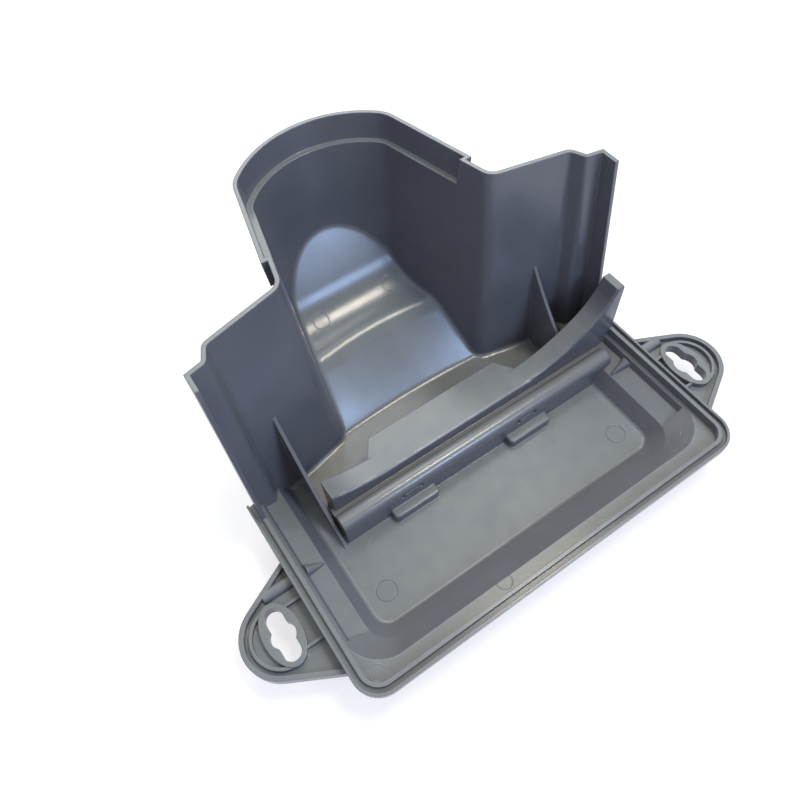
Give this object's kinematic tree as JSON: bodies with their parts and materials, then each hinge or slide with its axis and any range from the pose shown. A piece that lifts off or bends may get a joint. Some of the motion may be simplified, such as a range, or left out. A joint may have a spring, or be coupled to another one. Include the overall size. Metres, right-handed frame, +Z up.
{
  "type": "air filter cover",
  "caption": "Black plastic air filter cover: a shallow tray with a grooved rim, mounting ears, a folded baffle and a tall open intake hood.",
  "frame": {"origin": "on the flat underside of the tray, on the line between the centres of the ear holes and midway between them", "axes": "+X along the tray towards the horn of the baffle, +Y from the front of the tray to the intake hood, +Z up, out of the tray"},
  "size_m": [0.322, 0.2492, 0.137],
  "materials": {
    "plastic": "satin moulded"
  },
  "bodies": {
    "root": {"air_filter_cover": "plastic"}
  },
  "joints": []
}
